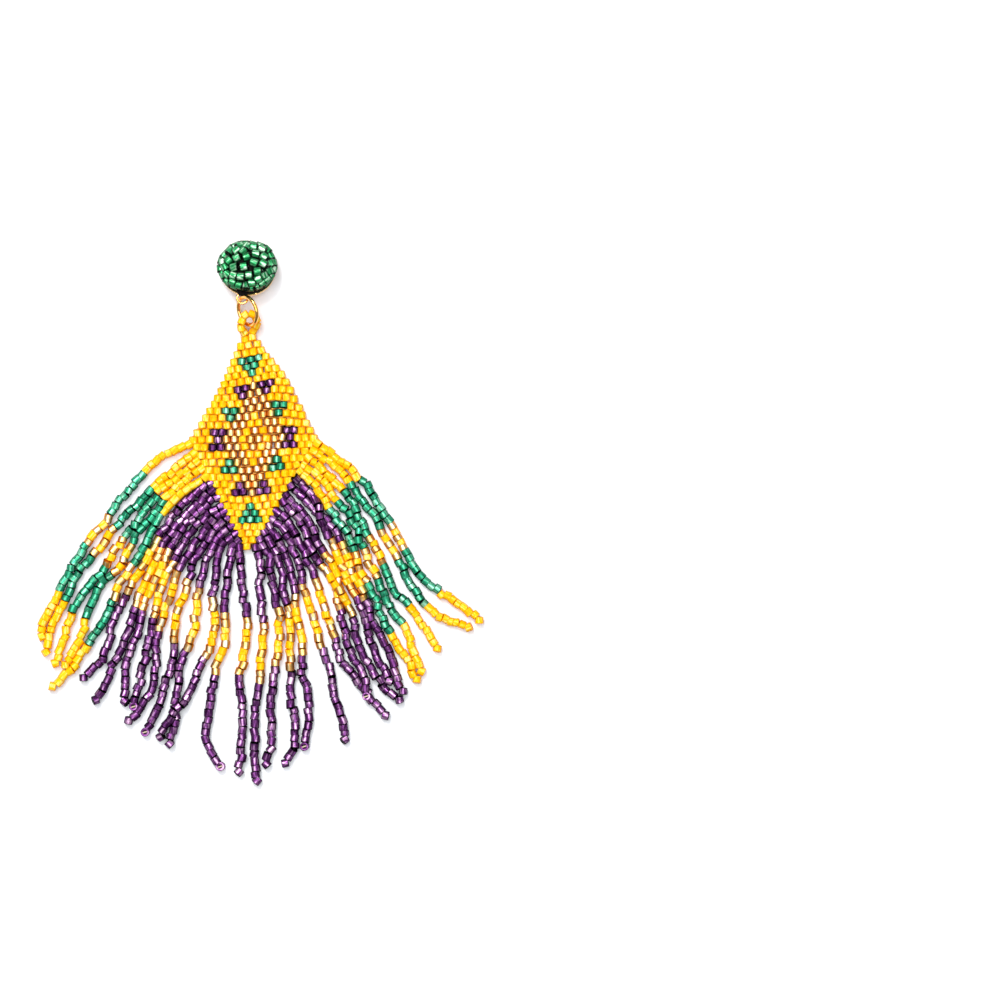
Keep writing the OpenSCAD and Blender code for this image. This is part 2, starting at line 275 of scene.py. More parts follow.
BEAD_LOOKS = {
    Y: dict(
        name="yellow_glass",
        body=((0.92, 0.39, 0.0), (1.0, 0.62, 0.004), (1.0, 0.85, 0.26)),
        side=(0.92, 0.34, 0.0),
        shade=(0.95, 0.36, 0.0),
        rim=(1.0, 0.8, 0.3),
        back=0.13, metallic=0.0, roughness=0.33, coat=0.0, grain=0.4, milky=True,
    ),
    G: dict(
        name="green_glass",
        body=((0.006, 0.16, 0.08), (0.04, 0.40, 0.22), (0.34, 0.74, 0.52)),
        side=(0.002, 0.08, 0.04),
        shade=(0.0, 0.006, 0.003),
        rim=(0.1, 0.5, 0.3),
        back=0.15, metallic=0.6, roughness=0.3, coat=0.1, grain=0.7,
    ),
    M: dict(
        name="gold_glass",
        body=((0.90, 0.38, 0.05), (1.0, 0.68, 0.26), (1.0, 0.92, 0.72)),
        side=(0.62, 0.22, 0.02),
        shade=(0.52, 0.18, 0.02),
        rim=(1.0, 0.65, 0.3),
        back=0.12, metallic=0.95, roughness=0.36, coat=0.0, grain=0.5,
    ),
    P: dict(
        name="purple_glass",
        body=((0.035, 0.002, 0.045), (0.20, 0.055, 0.23), (0.74, 0.46, 0.70)),
        side=(0.008, 0.0, 0.011),
        shade=(0.0, 0.0, 0.001),
        rim=(0.2, 0.05, 0.2),
        back=0.15, metallic=0.8, roughness=0.32, coat=0.1, grain=0.7,
    ),
    D: dict(
        name="dome_green_glass",
        body=((0.003, 0.12, 0.03), (0.04, 0.40, 0.14), (0.72, 0.98, 0.76)),
        side=(0.002, 0.09, 0.025),
        shade=(0.0, 0.004, 0.002),
        rim=(0.1, 0.5, 0.2),
        back=0.14, metallic=0.45, roughness=0.3, coat=0.2, grain=1.3,
    ),
}


def node(owner, kind, **settings):
    n = owner.node_tree.nodes.new("ShaderNode" + kind)
    for key, value in settings.items():
        setattr(n, key, value)
    return n


def link(owner, a, b):
    owner.node_tree.links.new(a, b)


def set_inputs(n, values):
    for name, value in values.items():
        n.inputs[name].default_value = value


def new_shader(owner, output, kind):
    """The one shader of a material or world whose nodes start out empty."""
    owner.use_nodes = True
    owner.node_tree.nodes.clear()
    out, shader = node(owner, output), node(owner, kind)
    link(owner, shader.outputs[0], out.inputs["Surface"])
    return shader


def new_material(name):
    m = bpy.data.materials.new(name)
    return m, new_shader(m, "OutputMaterial", "BsdfPrincipled")


def noise(m, vector, scale, detail=2.0):
    n = node(m, "TexNoise")
    set_inputs(n, {"Scale": scale, "Detail": detail})
    link(m, vector, n.inputs["Vector"])
    return n.outputs["Fac"]


def stretched(m, source, scale):
    n = node(m, "Mapping")
    set_inputs(n, {"Scale": scale})
    link(m, source, n.inputs["Vector"])
    return n.outputs["Vector"]


def ramp(owner, fac, stops):
    n = node(owner, "ValToRGB")
    elements = n.color_ramp.elements
    for element, (position, colour) in zip(elements, (stops[0], stops[-1])):
        element.position, element.color = position, (*colour, 1)
    for position, colour in stops[1:-1]:
        elements.new(position).color = (*colour, 1)
    link(owner, fac, n.inputs["Fac"])
    return n.outputs["Color"]


def mixed(m, fac, a, b):
    """Colours a and b mixed, each a colour or a socket."""
    n = node(m, "Mix", data_type="RGBA")
    link(m, fac, n.inputs["Factor"])
    for socket, value in (("A", a), ("B", b)):
        target = next(s for s in n.inputs if s.name == socket and s.type == "RGBA")
        if isinstance(value, tuple):
            target.default_value = (*value, 1)
        else:
            link(m, value, target)
    return next(s for s in n.outputs if s.type == "RGBA")


def ranged(m, fac, low, high, start=0.0, end=1.0):
    n = node(m, "MapRange")
    set_inputs(n, {"From Min": start, "From Max": end, "To Min": low, "To Max": high})
    link(m, fac, n.inputs["Value"])
    return n.outputs["Result"]


def calculated(m, operation, *inputs):
    """A Math node's result, from numbers and sockets."""
    n = node(m, "Math", operation=operation)
    for target, value in zip(n.inputs, inputs):
        if isinstance(value, float):
            target.default_value = value
        else:
            link(m, value, target)
    return n.outputs["Value"]


def bumped(m, shader, height, strength, distance):
    n = node(m, "Bump")
    set_inputs(n, {"Strength": strength, "Distance": distance})
    link(m, height, n.inputs["Height"])
    link(m, n.outputs["Normal"], shader.inputs["Normal"])


def bead_material(
    name, body, side, shade, rim, back, metallic, roughness, coat, grain, milky=False
):
    """A glass seed bead, each one lighter or darker, with streaks along it, painted light on its top
    and painted shade on its flanks and near its cut ends.

    body is the darkest and lightest colour of its painted lit back, mixed by its tint and streaks,
    and that of its painted glints, side the painted shade of its flanks, shade the painted shade near
    the ends and in the hole, and rim the tint of grazing light. back is how far round its painted lit
    back goes, in turns from the top, and grain how uneven it is. A milky bead lets some light
    through.
    """
    m, shader = new_material(name)
    tint = node(m, "Attribute", attribute_name="bead_tint").outputs["Fac"]
    uv = node(m, "UVMap", uv_map="UVMap").outputs["UV"]
    where = node(m, "SeparateXYZ")
    link(m, uv, where.inputs["Vector"])
    streak = noise(m, stretched(m, uv, STREAKS), scale=1.0, detail=3.0)

    # The bead's random tone from its tint and streaks; the lightest streaks reach the glint colour, a
    # painted highlight
    streaks = ranged(m, streak, low=0.0, high=0.65, start=0.36, end=0.64)
    lightness = calculated(m, "MULTIPLY_ADD", tint, TINT_SHARE, streaks)
    colour = ramp(m, lightness, [(0.0, body[0]), (0.55, body[1]), (0.9, body[2])])

    # Painted light on the bead's top and painted shade on its flanks, by the turn round it from the
    # top
    turn = calculated(m, "FRACT", where.outputs["X"])
    from_top = calculated(m, "ABSOLUTE", calculated(m, "SUBTRACT", turn, TOP_TURN))
    uneven = calculated(m, "MULTIPLY_ADD", streak, UNEVEN_EDGE, from_top)
    painted_flank_shade = ranged(m, uneven, low=0.0, high=1.0, start=back, end=back + SOFT_EDGE)
    colour = mixed(m, painted_flank_shade, colour, side)

    # Painted shade near the cut ends and in the hole
    stops = [(0.06, WHITE), (0.17, BLACK), (0.83, BLACK), (0.94, WHITE)]
    ends = ramp(m, where.outputs["Y"], stops)
    link(m, mixed(m, ends, colour, shade), shader.inputs["Base Color"])

    rough = ranged(m, streak, low=roughness * 0.8, high=roughness * 1.25, start=0.3, end=0.7)
    link(m, rough, shader.inputs["Roughness"])
    set_inputs(shader, {
        "Metallic": metallic,
        "Specular IOR Level": 0.25,
        "Specular Tint": (*rim, 1),
        "Coat Weight": coat,
        "Coat Roughness": 0.12,
    })
    if milky:
        set_inputs(shader, {
            "Subsurface Weight": 0.35,
            "Subsurface Radius": (1.0, 0.55, 0.1),
            "Subsurface Scale": 0.0007,
        })
    place = node(m, "TexCoord").outputs["Object"]
    bumped(m, shader, noise(m, place, 1300.0), strength=grain, distance=0.0001)
    return m


def gold_metal():
    """Polished brass with faint handling marks."""
    m, shader = new_material("gold_plate")
    place = node(m, "TexCoord").outputs["Object"]
    stops = [(0.3, (0.84, 0.42, 0.08)), (0.7, (0.97, 0.60, 0.22))]
    link(m, ramp(m, noise(m, place, 260.0), stops), shader.inputs["Base Color"])
    set_inputs(shader, {"Metallic": 1.0})
    rough = ranged(m, noise(m, place, 1400.0), low=0.07, high=0.2)
    link(m, rough, shader.inputs["Roughness"])
    bumped(m, shader, noise(m, place, 2200.0), strength=0.12, distance=0.00004)
    return m


def black_felt():
    """Matted black fibres."""
    m, shader = new_material("black_felt")
    place = node(m, "TexCoord").outputs["Object"]
    fibre = noise(m, stretched(m, place, (1.0, 0.35, 1.0)), scale=3600.0, detail=4.0)
    stops = [(0.3, (0.002, 0.002, 0.002)), (0.75, (0.012, 0.011, 0.011))]
    link(m, ramp(m, fibre, stops), shader.inputs["Base Color"])
    set_inputs(shader, {
        "Roughness": 0.95,
        "Specular IOR Level": 0.1,
        "Sheen Weight": 0.03,
        "Sheen Roughness": 0.5,
    })
    bumped(m, shader, fibre, strength=0.8, distance=0.00015)
    return m


# Shades of the thread, kept in its bead_tint
DARK, GOLDEN, PALE = 0.0, 0.5, 1.0


def bead_thread():
    """Waxed two-ply thread."""
    m, shader = new_material("bead_thread")
    uv = node(m, "UVMap", uv_map="UVMap").outputs["UV"]
    tint = node(m, "Attribute", attribute_name="bead_tint").outputs["Fac"]
    wave = node(m, "TexWave", wave_type="BANDS", bands_direction="DIAGONAL")
    set_inputs(wave, {"Scale": 1.6})
    link(m, uv, wave.inputs["Vector"])
    twist = wave.outputs["Fac"]
    light = ramp(m, twist, [(0.0, (0.70, 0.27, 0.02)), (1.0, (0.92, 0.50, 0.10))])
    dark = ramp(m, twist, [(0.0, (0.01, 0.006, 0.008)), (1.0, (0.03, 0.02, 0.025))])
    golden = mixed(m, ranged(m, tint, 0.0, 1.0, DARK, GOLDEN), dark, light)
    pale = mixed(m, ranged(m, tint, 0.0, 1.0, GOLDEN, PALE), golden, (0.75, 0.62, 0.45))
    link(m, pale, shader.inputs["Base Color"])
    set_inputs(shader, {"Roughness": 0.6, "Sheen Weight": 0.2})
    bumped(m, shader, twist, strength=0.5, distance=0.00005)
    return m


# Meshes

BEAD_SIDES = 16
BEAD_HOLE_R = 0.38
BEAD_LENGTH = 1.4
STRUNG_BEVEL, WOVEN_BEVEL, DOME_BEVEL = 0.09, 0.15, 0.2

# Shares of the bevel: how far its rounded middle lies in from both sides, and where the ring lies
# that keeps the bead's side straight
ROUNDING, STRAIGHT_FROM = 0.29, 1.6

# How far the cut ends slope
CUT_SLOPE = 0.06

THREAD_SIDES = 5

# Height in the texture of each ring of a bead's section
PROFILE_V = np.array([0.0, 0.0, 0.03, 0.08, 0.14, 0.86, 0.92, 0.97, 1.0, 1.0])

# The part of the texture, on the painted lit back, that a bead on end takes, so that it shows painted
# light all over: its size and its lower corner
BACK_UV = np.array([[0.16, 0.4], [0.17, 0.3]])

# Textures of the beads differ by whole turns, up to this many
TEXTURE_TURNS = 400


def bead_profile(r, half, bevel):
    """A bead's section, radius and height, from its hole's lower edge out and up to its upper."""
    inset, straight = ROUNDING * bevel, STRAIGHT_FROM * bevel
    rim = [(r - bevel, 0), (r - inset, inset), (r, bevel), (r, straight)]
    lower = [(x, z - half) for x, z in [(BEAD_HOLE_R, 0), *rim]]
    return np.array(lower + [(x, -z) for x, z in reversed(lower)])


def tube_quads(rings, sides, closed=False):
    """Quads between rings of points: their corners' numbers, and each corner's turn and ring."""
    j, s = np.meshgrid(np.arange(rings if closed else rings - 1), np.arange(sides), indexing="ij")
    ring = (j.reshape(-1, 1) + [0, 0, 1, 1]) % rings
    side = s.reshape(-1, 1) + [0, 1, 1, 0]
    return ring * sides + side % sides, side / sides, ring


def mesh_object(name, verts, quads, uvs, tint, material_index, materials):
    mesh = bpy.data.meshes.new(name)
    mesh.vertices.add(len(verts))
    mesh.vertices.foreach_set("co", (verts * MM).astype(np.float32).ravel())
    mesh.loops.add(quads.size)
    mesh.loops.foreach_set("vertex_index", quads.ravel().astype(np.int32))
    mesh.polygons.add(len(quads))
    mesh.polygons.foreach_set("loop_start", np.arange(0, quads.size, 4, dtype=np.int32))
    mesh.polygons.foreach_set("material_index", material_index.astype(np.int32))
    mesh.polygons.foreach_set("use_smooth", np.ones(len(quads), bool))
    mesh.uv_layers.new(name="UVMap").data.foreach_set("uv", uvs.astype(np.float32).ravel())
    tints = mesh.attributes.new("bead_tint", "FLOAT", "POINT")
    tints.data.foreach_set("value", tint.astype(np.float32))
    mesh.update(calc_edges=True)
    mesh.validate()
    for m in materials:
        mesh.materials.append(m)
    obj = bpy.data.objects.new(name, mesh)
    bpy.context.scene.collection.objects.link(obj)
    return obj


def kept_inside(verts):
    """Moves each bead, a block of points, back inside the CAD's box if it stands out."""
    out = np.minimum(verts.min(1) - BOX_LOW, 0) + np.maximum(verts.max(1) - BOX_HIGH, 0)
    return verts - out[:, None, :]


def bead_mesh(
    name, at, axis, colours, seed, materials, lengths, lean, girth, bevel, showing=()
):
    """One object of many seed beads. at and axis give each bead's middle and the way of its hole.

    lean is how far they stand askew in degrees, girth their thinnest and thickest share of the
    common radius, and showing marks the beads whose cut end faces up, which take the painted light of
    the others' backs all over.
    """
    rng = np.random.default_rng(seed)
    n, rings = len(at), len(PROFILE_V)
    axis = unit(np.array(axis, float))
    axis = unit(axis + rng.normal(0, math.radians(lean) / 2, (n, 3)))
    side, up = crosswise(axis)
    half = np.broadcast_to(np.asarray(lengths) / 2, n)
    radius = BEAD_R * rng.uniform(*girth, n)
    cut = rng.normal(0, CUT_SLOPE, (n, 2, 2))
    a = 2 * np.pi * np.arange(BEAD_SIDES) / BEAD_SIDES
    blocks = np.empty((n, rings, BEAD_SIDES, 3))
    for k in range(n):
        for j, (r, z) in enumerate(bead_profile(radius[k], half[k], bevel)):
            slope = cut[k, 0] if z > 0 else cut[k, 1]
            x, y = r * np.cos(a), r * np.sin(a)
            z = z + slope[0] * x + slope[1] * y
            blocks[k, j] = x[:, None] * side[k] + y[:, None] * up[k] + z[:, None] * axis[k]
    verts = blocks.reshape(n, rings * BEAD_SIDES, 3) + np.array(at, float)[:, None, :]
    verts = kept_inside(verts).reshape(-1, 3)

    quad, turn, ring = tube_quads(rings, BEAD_SIDES, closed=True)
    uv = np.stack([turn, PROFILE_V[ring]], -1)
    uvs = uv + (rng.integers(0, TEXTURE_TURNS, (n, 1)) * [1, 0])[:, None, None, :]
    uvs[np.flatnonzero(showing)] = uv * BACK_UV[0] + BACK_UV[1]
    quads = (quad + (np.arange(n) * rings * BEAD_SIDES)[:, None, None]).reshape(-1, 4)
    tint = np.repeat(rng.uniform(0, 1, n), rings * BEAD_SIDES)

    used = [c for c in materials if c in colours]
    index = np.repeat([used.index(c) for c in colours], len(quad))
    looks = [materials[c] for c in used]
    return mesh_object(name, verts, quads, uvs.reshape(-1, 2), tint, index, looks)


def thread_mesh(name, paths, shades, radius, material):
    """Thin round threads along the paths, in one object.

    shades has one value a path, or one for each of its points.
    """
    verts, quads, uvs, tints, base = [], [], [], [], 0
    a = 2 * np.pi * np.arange(THREAD_SIDES) / THREAD_SIDES
    cos, sin = np.cos(a)[None, :, None], np.sin(a)[None, :, None]
    for path, shade in zip(paths, shades):
        path = np.array(path, float)
        side, up = crosswise(unit(np.gradient(path, axis=0) + 1e-9))
        circles = path[:, None] + radius * (cos * side[:, None] + sin * up[:, None])
        verts.append(circles.reshape(-1, 3))
        shade = np.broadcast_to(np.asarray(shade, float), len(path))
        tints.append(np.repeat(shade, THREAD_SIDES))
        quad, turn, ring = tube_quads(len(path), THREAD_SIDES)
        quads.append(quad + base)
        run = run_along(path) / (2 * radius)
        uvs.append(np.stack([turn, run[ring]], -1).reshape(-1, 2))
        base += len(path) * THREAD_SIDES
    verts, quads, uvs, tints = map(np.concatenate, (verts, quads, uvs, tints))
    return mesh_object(name, verts, quads, uvs, tints, np.zeros(len(quads)), [material])


# The strings, laid on the surface

STRING_START = 0.12
BEAD_OVERLAP = 0.07
LENGTH_SHARES = (0.8, 1.2)
STRUNG_LEAN, STRUNG_GIRTH = 15.0, (1.06, 1.18)
STRING_THREAD_R = 0.13

# Slow and quick waves of a string's stray from its route: size, shortest and longest wave
WANDER_WAVES = [(0.34, 10, 15), (0.2, 5, 7.5)]
WANDER_FADE = 8

# A stitch across an open tip's hole: sideways and up from the bead's middle
KNOT = [(-0.5, 0.1), (-0.42, 0.66), (-0.15, 0.78), (0.15, 0.78), (0.42, 0.66), (0.5, 0.1)]
KNOT_SLANT = 0.3

# How the strings settle: the steps, the steps between two searches for near beads, and what each
# step does. Gaps are between middles; pulls and pushes are shares of the way to go.
SETTLING_STEPS, QUICK_STEPS, SEARCH_STEPS = 260, 60, 6
HOME_PULL, SINKING = 0.05, 0.03
STRING_GAP, STRING_SEARCH, GAP_ALONG, LIFT = 1.64, 2.6, 0.35, 0.06
FIXED_GAP, FIXED_SEARCH, FIXED_PUSH = 1.5, 2.2, 0.6
STRAIGHTENING = 0.12
LAST_STRAY, LAST_STRAY_WAYS = 0.15, [1, 1, 0.4]
TINY = 1e-6


def wander(distances, rng):
    """How far a string strays sideways from its smooth route, growing from its head."""
    out = np.zeros_like(distances)
    for size, *wave in WANDER_WAVES:
        out += size * np.sin(2 * np.pi * (distances / rng.uniform(*wave) + rng.uniform()))
    return out * np.clip(distances / WANDER_FADE, 0, 1)


def string_colours(k):
    runs = OUTER_RUNS if k < OUTER_STRANDS else INNER_RUNS
    return [c for c, n in runs for _ in range(n)]


def laid_string(side, k, points, rng):
    """Bead middles and lengths of string k of a side along its route, before it has settled."""
    i = FIRST_STRAND_ROW + k
    start = end_bead(side, i) - row_axis(i) * ROW_PITCH / 2
    if i > LAST_HEAD_ROW:
        # It hangs from its bead's outer half, beside the diamond's last bead
        start, points = start + [side * BEAD_PITCH / 2, 0, 0], points[1:]
    bends = [np.array([x, y, *(height or [BEAD_R])]) + CENTRE_SHIFT for x, y, *height in points]
    path = smooth_curve([start, *bends])
    lengths = rng.uniform(*LENGTH_SHARES, len(string_colours(k)))
    room = run_along(path)[-1] - STRING_START - BEAD_D
    lengths *= room / lengths[:-1].sum()
    lengths[-1] = BEAD_D
    middles = STRING_START + np.cumsum(lengths) - lengths / 2
    beads = at_distances(path, middles)
    heading = unit(np.gradient(beads, axis=0))
    sideways = np.stack([-heading[:, 1], heading[:, 0], 0 * middles], 1)
    return beads + sideways * wander(middles, rng)[:, None], lengths


def settled_strings(fixed):
    """Bead middles of both fringes after the strings have been let down on the surface.

    fixed are the middles of beads that don't move. Returns each string's middles and bead lengths,
    left side first.
    """
    rng = np.random.default_rng(7)
    laid = [
        laid_string(side, k, points, rng)
        for side, table in ((LEFT, LEFT_STRANDS), (RIGHT, RIGHT_STRANDS))
        for k, points in enumerate(table)
    ]
    counts = [len(lengths) for _, lengths in laid]
    owner = np.repeat(np.arange(len(laid)), counts)
    first = np.cumsum([0] + counts)
    spans = [slice(a, b) for a, b in zip(first, first[1:])]
    starts = first[:-1]
    # Beads with a next one on their string, and those of them with one before as well
    linked = np.flatnonzero(owner[:-1] == owner[1:])
    inner = np.setdiff1d(linked, starts)
    length = np.concatenate([lengths for _, lengths in laid])
    spacing = (length[linked] + length[linked + 1]) / 2
    home = np.concatenate([beads for beads, _ in laid])
    home[:, 2] = np.maximum(home[:, 2], BEAD_R)

    p = home.copy()
    for step in range(SETTLING_STEPS):
        p[:, :2] += (home[:, :2] - p[:, :2]) * HOME_PULL
        p[:, 2] -= SINKING
        axis = np.concatenate([unit(np.gradient(p[span], axis=0)) for span in spans])
        if step % SEARCH_STEPS == 0:
            gap = np.linalg.norm(p[:, None, :] - p[None, :, :], axis=2)
            a, b = np.argwhere((gap < STRING_SEARCH) & (owner[:, None] < owner[None, :])).T
            gap = np.linalg.norm(p[:, None, :] - fixed[None, :, :], axis=2)
            c, f = np.argwhere(gap < FIXED_SEARCH).T
        p += apart(p, axis, a, b)
        d = p[c] - fixed[f]
        gap = np.linalg.norm(d, axis=1, keepdims=True)
        push = np.maximum(FIXED_GAP - gap, 0) * d / np.maximum(gap, TINY) * FIXED_PUSH
        np.add.at(p, c, push)
        for half in (0, 1):
            i = linked[half::2]
            d = p[i + 1] - p[i]
            gap = np.linalg.norm(d, axis=1, keepdims=True)
            fix = (gap - spacing[half::2, None]) * d / np.maximum(gap, TINY) * 0.5
            p[i] += fix
            p[i + 1] -= fix
        bend = np.zeros_like(p)
        bend[inner] = (p[inner - 1] + p[inner + 1]) / 2 - p[inner]
        p += bend * STRAIGHTENING
        p[starts] = home[starts]
        p = np.clip(p, BOX_LOW + BEAD_R, BOX_HIGH - BEAD_R)
    stray = rng.normal(0, LAST_STRAY, p.shape) * LAST_STRAY_WAYS
    p += stray - axis * (stray * axis).sum(1, keepdims=True)
    return [(p[span], lengths) for span, (_, lengths) in zip(spans, laid)]


def apart(p, axis, a, b):
    """Moves that keep beads a and b of two strings a bead's width apart, beside their holes."""
    d = p[b] - p[a]
    for axes in (axis[a], axis[b]):
        run = (d * axes).sum(1, keepdims=True)
        d = d - np.clip(run, -GAP_ALONG, GAP_ALONG) * axes
    gap = np.linalg.norm(d, axis=1, keepdims=True)
    push = np.maximum(STRING_GAP - gap, 0) * d / np.maximum(gap, TINY) * 0.5
    push[:, 2] += np.maximum(STRING_GAP - gap[:, 0], 0) * LIFT
    move, hits = np.zeros_like(p), np.ones((len(p), 1))
    for index, way in ((a, -push), (b, push)):
        np.add.at(move, index, way)
        np.add.at(hits, index, 0.5)
    return move / hits


def fringe(name, side, strings, seed, materials, thread):
    """Half of the fringe: the end beads of the diamond's lower rows and the strings below them."""
    n = len(HEAD_ROWS)
    at, axis = [end_bead(side, i) for i in HEAD_ROWS], [row_axis(i) for i in HEAD_ROWS]
    colours, lengths, showing = [Y] * n, [BEAD_LENGTH] * n, [False] * n
    paths, shades = [], []
    for k, (beads, length) in enumerate(strings):
        mine = string_colours(k)
        on_end = k + 1 in TIPS_ON_END[side]
        heading = unit(np.gradient(beads, axis=0))
        # The last bead stands on end, or hangs askew to one side or the other
        askew = heading[-1] + np.cross(heading[-1], [0, 0, (-1) ** k])
        heading[-1] = [0, 0, 1] if on_end else askew
        at += list(beads)
        axis += list(heading)
        colours += mine
        lengths += list(length[:-1] + BEAD_OVERLAP) + [BEAD_LENGTH]
        showing += [False] * (len(mine) - 1) + [on_end]
        i = FIRST_STRAND_ROW + k
        head = end_bead(side, i)
        paths.append([head, head - row_axis(i) * ROW_PITCH / 2, *beads])
        # Golden among yellow and gold beads, dark among the others: a painted reflection of the
        # yellow beads and painted shade in the gaps, along one thread
        shades.append([GOLDEN if c in (Y, M) else DARK for c in [Y, Y, *mine]])
        if on_end:
            paths.append([beads[-1] + [dx, KNOT_SLANT * dx, z] for dx, z in KNOT])
            shades.append([PALE] * len(KNOT))
    beads = bead_mesh(
        name + "_beads", at, axis, colours, seed, materials, lengths,
        STRUNG_LEAN, STRUNG_GIRTH, STRUNG_BEVEL, showing,
    )
    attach(beads, "root")
    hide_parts(name)
    threads = thread_mesh(name + "_threads", paths, shades, STRING_THREAD_R, thread)
    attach(threads, "root")


# The woven diamond

WOVEN_LEAN, WOVEN_GIRTH = 9.0, (1.01, 1.06)
WOVEN_LENGTH_SHARES = (1.0, 1.04)
WOVEN_STRAY, WOVEN_STRAY_WAYS = 0.07, [0.7, 0.7, 0.6]
WOVEN_THREAD_R = 0.17
THREAD_END_INSET, THREAD_WAVE = 0.7, 0.3

# Each level of the diamond strays sideways as one; enough draws for all of them
LEVEL_STRAY, LEVEL_DRAWS = 0.07, 80


def diamond_colour(i, k):
    """Colour of bead k of row i, by the row's bead count and its distance from the middle."""
    n = beads_in_row(i)
    d = abs(2 * k - (n - 1)) / 2
    if 5 <= n <= 7 and d <= (7 - n) / 2:
        return G
    if n < 9:
        return Y
    e = (n - 9) / 2 - d
    if e in (0, 1, 3):
        return M
    if e == -1 and n in (9, 10, 15, 16) or e == -2 and n in (9, 15):
        return P
    if e == -1 and n in (12, 13) or e == -2 and n == 12:
        return G
    return Y


def diamond_beads():
    """Middle, hole axis and colour of each bead of the diamond but the ends that carry strings."""
    out = []
    for i in range(FIRST_ROW, LAST_ROW + 1):
        n = beads_in_row(i)
        for k in range(n):
            if i in HEAD_ROWS and k in (0, n - 1):
                continue
            across = (k - (n - 1) / 2) * BEAD_PITCH
            hole = on_row(i, across, ROW_PITCH / 2) - on_row(i, across, -ROW_PITCH / 2)
            out.append((row_bead(i, k), unit(hole), diamond_colour(i, k)))
    return out


def woven_diamond(beads, materials, thread):
    at, axis, colours = zip(*beads)
    rng = np.random.default_rng(31)
    at = np.array(at) + rng.normal(0, WOVEN_STRAY, (len(at), 3)) * WOVEN_STRAY_WAYS
    levels = np.round(at[:, 1] / ROW_PITCH).astype(int)
    at[:, 0] += rng.normal(0, LEVEL_STRAY, LEVEL_DRAWS)[levels]
    lengths = ROW_PITCH * rng.uniform(*WOVEN_LENGTH_SHARES, len(at))
    obj = bead_mesh(
        "woven_diamond_beads", at, axis, colours, 32, materials, lengths,
        WOVEN_LEAN, WOVEN_GIRTH, WOVEN_BEVEL,
    )
    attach(obj, "root")
    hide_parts("woven_diamond")
    paths = []
    for i in range(FIRST_ROW, LAST_ROW):
        widest = max(beads_in_row(i), beads_in_row(i + 1))
        wide = widest / 2 * BEAD_PITCH - THREAD_END_INSET
        xs = np.arange(-wide, wide + 0.01, BEAD_PITCH / 4)
        heights = [BEAD_R + THREAD_WAVE * math.sin(x / BEAD_PITCH * 2 * math.pi) for x in xs]
        paths.append([on_row(i, x, -ROW_PITCH / 2, z) for x, z in zip(xs, heights)])
    shades = [GOLDEN] * len(paths)
    threads = thread_mesh("woven_diamond_threads", paths, shades, WOVEN_THREAD_R, thread)
    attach(threads, "root")


# The loop of beads

LOOP_BEADS = 8
LOOP_INSET = 0.1
LOOP_LEAN, LOOP_GIRTH = 6.0, (1.0, 1.06)
LOOP_FLATTENING = [1, 1, 0.2]
LOOP_THREAD_R = 0.16


def bead_loop(materials, thread):
    top = [row_bead(FIRST_ROW, k) for k in (0, 1)]
    ends = [p + row_axis(FIRST_ROW) * (ROW_PITCH / 2 + LOOP_INSET) for p in top]
    path = smooth_curve([ends[0], *[np.array(p) + CENTRE_SHIFT for p in LOOP_ROUTE], ends[1]])
    pitch = run_along(path)[-1] / LOOP_BEADS
    middles = at_distances(path, pitch * (np.arange(LOOP_BEADS) + 0.5))
    heading = unit(np.gradient(middles, axis=0) * LOOP_FLATTENING)
    obj = bead_mesh(
        "bead_loop_beads", middles, heading, [Y] * LOOP_BEADS, 41, materials,
        min(BEAD_LENGTH, pitch), LOOP_LEAN, LOOP_GIRTH, WOVEN_BEVEL,
    )
    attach(obj, "root")
    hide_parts("bead_loop")
    run = [top[0], *path[::4], path[-1], top[1]]
    threads = thread_mesh("bead_loop_thread", [run], [GOLDEN], LOOP_THREAD_R, thread)
    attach(threads, "root")


# The dome of beads

DOME_LEAN, DOME_GIRTH = 8.0, (1.02, 1.1)
DOME_BEAD_LENGTH = 1.74

# The ring of beads at the dome's edge, counted from the right: how far they are turned on, sit
# below the waist, lean by turns and stray
DOME_RING_BEADS = 20
DOME_RING_BEAD_LENGTH = 1.65
DOME_RING_TURN, DOME_RING_DROP, DOME_RING_LEAN, DOME_RING_STRAY = 0.4, 0.15, 0.12, 0.06

# Those at the top are longer and stand out, so that they hide the cup's rim
DOME_TOP_BEADS = [2, 3, 4, 5, 6, 7]
DOME_TOP_BEAD_LENGTH = 1.9
DOME_TOP_REACH = 0.15

# Points are kept inside this share of the dome's half width, where its surface isn't yet upright
DOME_EDGE = 0.985
SIGHT_STEPS = 8

# How the chart's beads are spread on the dome
DOME_BEAD_GAP = 1.5
DOME_STEPS, DOME_PUSH, DOME_HOME_PULL = 120, 0.35, 0.12

# A bead's distance from itself, so that it doesn't push itself
FAR = 9

# Stitches from a bead's hole over its edge and down into the felt, PALE_STITCHES of them pale
STITCH_REACH, STITCH_OUT, STITCH_DROP, STITCH_DEPTH = 0.62, 0.2, 0.25, 0.86
STITCH_R = 0.1
PALE_STITCHES = 0.05

# The felt: its depth below the dome, its base in the stud's frame, its rings and their points, its
# steepest latitude in degrees, its roughness, and where it bulges over the rim
FELT_DEPTH = 1.05
FELT_BASE = np.array([0.0, 0.0, 0.5])
FELT_LEVELS, FELT_SIDES = 22, 72
FELT_STEEPEST = 88
FELT_STRAY, BULGE_STRAY = 0.035, 0.03
FELT_TEXTURE = 20.0
BULGE_AT = np.array([-4.0, 44.45, 3.15])
BULGE_SIZE = np.array([1.1, 0.95, 0.5])


